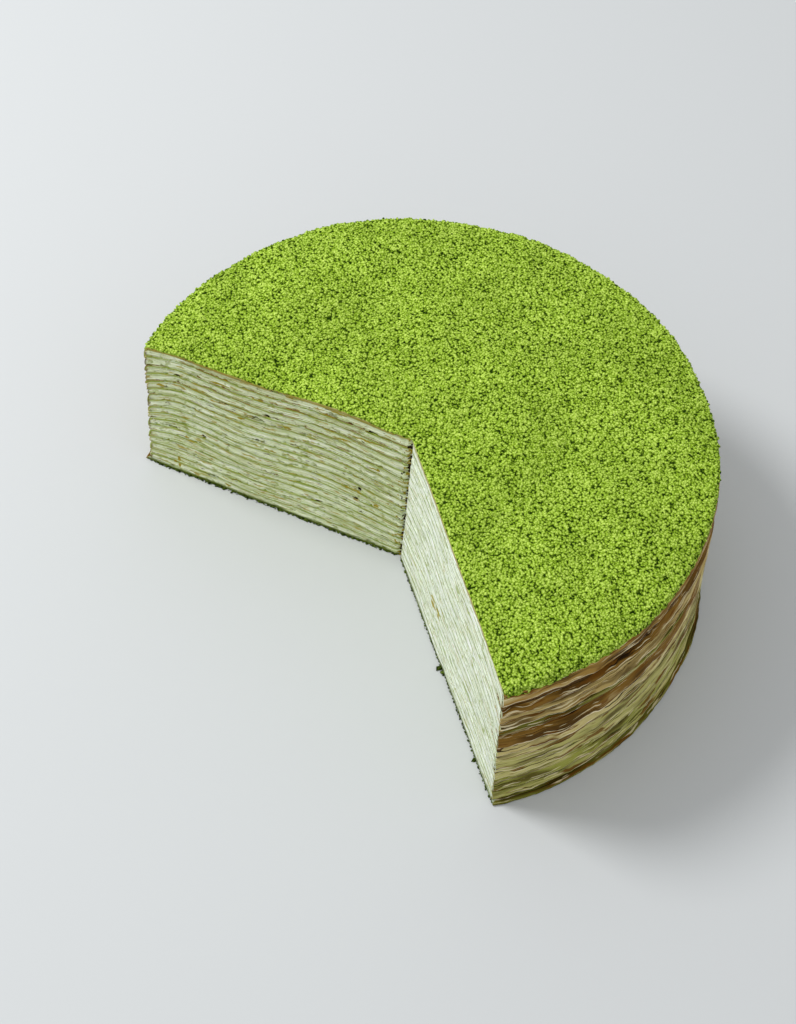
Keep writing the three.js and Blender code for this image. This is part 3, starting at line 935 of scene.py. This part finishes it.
OCTAHEDRON = (
    np.array([[1, 0, 0], [0, 1, 0], [-1, 0, 0], [0, -1, 0], [0, 0, 1], [0, 0, -1]], float),
    np.array([[0, 1, 4], [1, 2, 4], [2, 3, 4], [3, 0, 4], [1, 0, 5], [2, 1, 5], [3, 2, 5], [0, 3, 5]]),
)
GOLDEN = (1 + 5**0.5) / 2
ICOSAHEDRON = (
    np.array([
        [-1, GOLDEN, 0], [1, GOLDEN, 0], [-1, -GOLDEN, 0], [1, -GOLDEN, 0], [0, -1, GOLDEN], [0, 1, GOLDEN],
        [0, -1, -GOLDEN], [0, 1, -GOLDEN], [GOLDEN, 0, -1], [GOLDEN, 0, 1], [-GOLDEN, 0, -1], [-GOLDEN, 0, 1],
    ]) / np.hypot(1, GOLDEN),
    np.array([
        [0, 11, 5], [0, 5, 1], [0, 1, 7], [0, 7, 10], [0, 10, 11], [1, 5, 9], [5, 11, 4], [11, 10, 2],
        [10, 7, 6], [7, 1, 8], [3, 9, 4], [3, 4, 2], [3, 2, 6], [3, 6, 8], [3, 8, 9], [4, 9, 5],
        [2, 4, 11], [6, 2, 10], [8, 6, 7], [9, 8, 1],
    ]),
)


def bits(shape, places, sizes, rough, seed):
    """Many small lumps: one shape at each place, turned about the vertical and scaled by its
    size, with each of its points moved in or out by a random share. Each has one random tone."""
    corners, faces = shape
    random = np.random.default_rng(seed)
    count = len(places)
    turn = random.uniform(0, WHOLE_TURN, count)[:, None]
    reach = sizes[:, None] / 2 * (1 + rough * random.uniform(-1, 1, (count, len(corners))))
    x = corners[:, 0] * np.cos(turn) - corners[:, 1] * np.sin(turn)
    y = corners[:, 0] * np.sin(turn) + corners[:, 1] * np.cos(turn)
    z = np.broadcast_to(corners[:, 2], x.shape)
    points = places[:, None, :] + reach[..., None] * np.stack([x, y, z], -1)
    triangles = np.arange(count)[:, None, None] * len(corners) + faces
    tones = np.repeat(random.uniform(0, 1, count), len(corners))
    return points.reshape(-1, 3), triangles.reshape(-1, 3), tones


def on_top(count, seed):
    """Places spread evenly over the coat: both shares step on by a fixed fraction, so that no two
    come close together, with a small random move. The way out is the square root of its share."""
    random = np.random.default_rng(seed)
    move = random.uniform(-0.5, 0.5, (2, count)) / np.sqrt(count)
    around = (EVEN_STEPS[0] * np.arange(count) + move[0]) % 1
    out = np.sqrt((EVEN_STEPS[1] * np.arange(count) + move[1]) % 1)
    x, y = plan_point(FROM_CUTS + (1 - 2 * FROM_CUTS) * around, OUTERMOST * out, CAKE_HEIGHT)
    return np.column_stack([x, y, powder_height(x, y)])


# Each kind's shape, how many, its smallest and largest size, how far out of round, and its seed.
POWDER_BITS = {
    "Powder_grains": (OCTAHEDRON, 16000, 0.35, 0.6, 0.35, 401),
    "Powder_small_clumps": (ICOSAHEDRON, 9900, 0.7, 1.0, 0.3, 421),
    "Powder_clumps": (ICOSAHEDRON, 9900, 0.9, 1.2, 0.28, 441),
    "Powder_large_clumps": (ICOSAHEDRON, 6500, 1.1, 1.6, 0.25, 461),
}
for name, (shape, count, smallest, largest, rough, seed) in POWDER_BITS.items():
    places = on_top(count, seed)
    sizes = np.random.default_rng(seed + 1).uniform(smallest, largest, count)
    places[:, 2] -= SUNK_SHARE * sizes
    points, triangles, tones = bits(shape, places, sizes, rough, seed + 2)
    make_piece(name, points, triangles, POWDER, {"height": 0.3 + 0.3 * tones})


# ---- Crumbs at the base of the cuts ----
# Dark bits of crepe and powder that the knife took down with it, lying along the foot of both
# cuts, closer together along the left one.

# How many lie at the right cut and at the left one, and their share of the full size.
FOOT_CRUMBS = {0.0: (320, 0.7), 1.0: (460, 1.0)}
# Larger ones at the right cut: share of the way out, how far outside the cut, and size.
LARGE_CRUMBS = ((0.476, 0.8, 2.6), (0.495, 0.4, 2.0), (0.835, 0.7, 2.2))
CRUMBS_SPREAD = 0.35  # most of the small ones lie no further outside the cut
CRUMB_SMALLEST = 0.4
CRUMB_RANGE = 0.9  # the largest of the small ones is so much larger
CRUMB_FLATNESS = 0.7
CRUMB_RISE = 0.25
CRUMB_LOWEST = 0.02  # no point of a crumb lies lower
CRUMB = tea_powder("Damp green tea crumbs", "#1c2806", "#3a4a12", "#62762a")


def foot_of_cuts():
    """Places along the foot of both cuts, a random short way outside the lowest crepe, and the
    crumbs' sizes: most are small, and the large ones come last."""
    random = np.random.default_rng(501)
    counts, shares = zip(*FOOT_CRUMBS.values())
    around, share = np.repeat(list(FOOT_CRUMBS), counts), np.repeat(shares, counts)
    away = share * np.abs(random.normal(0, CRUMBS_SPREAD, len(share)))
    size = share * (CRUMB_SMALLEST + CRUMB_RANGE * random.uniform(0, 1, len(share)) ** 3)
    small = np.column_stack([random.uniform(0.01, 0.995, len(share)), away, size])
    out, away, size = np.concatenate([small, LARGE_CRUMBS]).T
    around = np.concatenate([around, [0.0] * len(LARGE_CRUMBS)])
    x, y = plan_point(around, out, 0.0)
    rim_x, rim_y = plan_point(around, 1.0, 0.0)
    heading = np.stack([rim_x, rim_y - corner_y(0.0)], 1)
    heading /= np.linalg.norm(heading, axis=1, keepdims=True)
    away = away * np.where(around == 0, 1, -1)
    return np.column_stack([x + heading[:, 1] * away, y - heading[:, 0] * away, 0 * x]), size


places, sizes = foot_of_cuts()
points, triangles, tones = bits(ICOSAHEDRON, places, sizes, 0.4, 503)
points[:, 2] = np.maximum(CRUMB_FLATNESS * points[:, 2] + CRUMB_RISE, CRUMB_LOWEST)
make_piece("Crumbs_at_the_foot", points, triangles, CRUMB, {"height": tones})


# ---- Floor, light and camera ----
# A plain pale floor, one large soft light on the left, a little behind the cake, and an even light
# from all around.

FLOOR_SIZE = 6.0
LIGHT_HEADING = Vector((-0.87, -0.49, 0.0)).normalized()
LIGHT_RISE = radians(50)
LIGHT_DISTANCE = 1.5
LIGHT_SIZE = 0.5
LIGHT_POWER = 15.0
EVEN_LIGHT = 0.75
CAMERA_PLACE = Vector((0.2775, -0.2755, 0.5753))
CAMERA_TURN = radians(46.05)  # to the left of the view along +Y
CAMERA_DIP = radians(54.64)  # below the horizontal
CAMERA_ROLL = radians(2.807)
CAMERA_LENS = 60.9

half = FLOOR_SIZE / 2
floor_mesh = bpy.data.meshes.new("Floor")
corners = [(-half, -half, 0), (half, -half, 0), (half, half, 0), (-half, half, 0)]
floor_mesh.from_pydata(corners, [], [(0, 1, 2, 3)])
floor = bpy.data.objects.new("Floor", floor_mesh)
bpy.context.scene.collection.objects.link(floor)
paint = new_material("Pale matt paint", 0.7, 0.3)[0]
paint.node_tree.nodes["Principled BSDF"].inputs["Base Color"].default_value = linear("#c8cbcc")
floor_mesh.materials.append(paint)

lamp = bpy.data.lights.new("Softbox", "AREA")
lamp.shape = "DISK"
lamp.size = LIGHT_SIZE
lamp.energy = LIGHT_POWER
softbox = bpy.data.objects.new("Softbox", lamp)
aim = LIGHT_HEADING * np.cos(LIGHT_RISE) + Vector((0, 0, 1)) * np.sin(LIGHT_RISE)
turned = aim.to_track_quat("Z", "Y").to_matrix().to_4x4()
softbox.matrix_world = Matrix.Translation(aim * LIGHT_DISTANCE) @ turned
bpy.context.scene.collection.objects.link(softbox)

world = bpy.data.worlds.new("Studio")
world.use_nodes = True
world.node_tree.nodes["Background"].inputs["Color"].default_value = linear("#f6f7f8")
world.node_tree.nodes["Background"].inputs["Strength"].default_value = EVEN_LIGHT
bpy.context.scene.world = world
bpy.context.scene.view_settings.view_transform = "Standard"

lens = bpy.data.cameras.new("Camera")
lens.lens = CAMERA_LENS
lens.clip_start = 0.01
camera = bpy.data.objects.new("Camera", lens)
turned = Matrix.Rotation(CAMERA_TURN, 4, "Z") @ Matrix.Rotation(radians(90) - CAMERA_DIP, 4, "X")
camera.matrix_world = Matrix.Translation(CAMERA_PLACE) @ turned @ Matrix.Rotation(CAMERA_ROLL, 4, "Z")
bpy.context.scene.collection.objects.link(camera)
bpy.context.scene.camera = camera
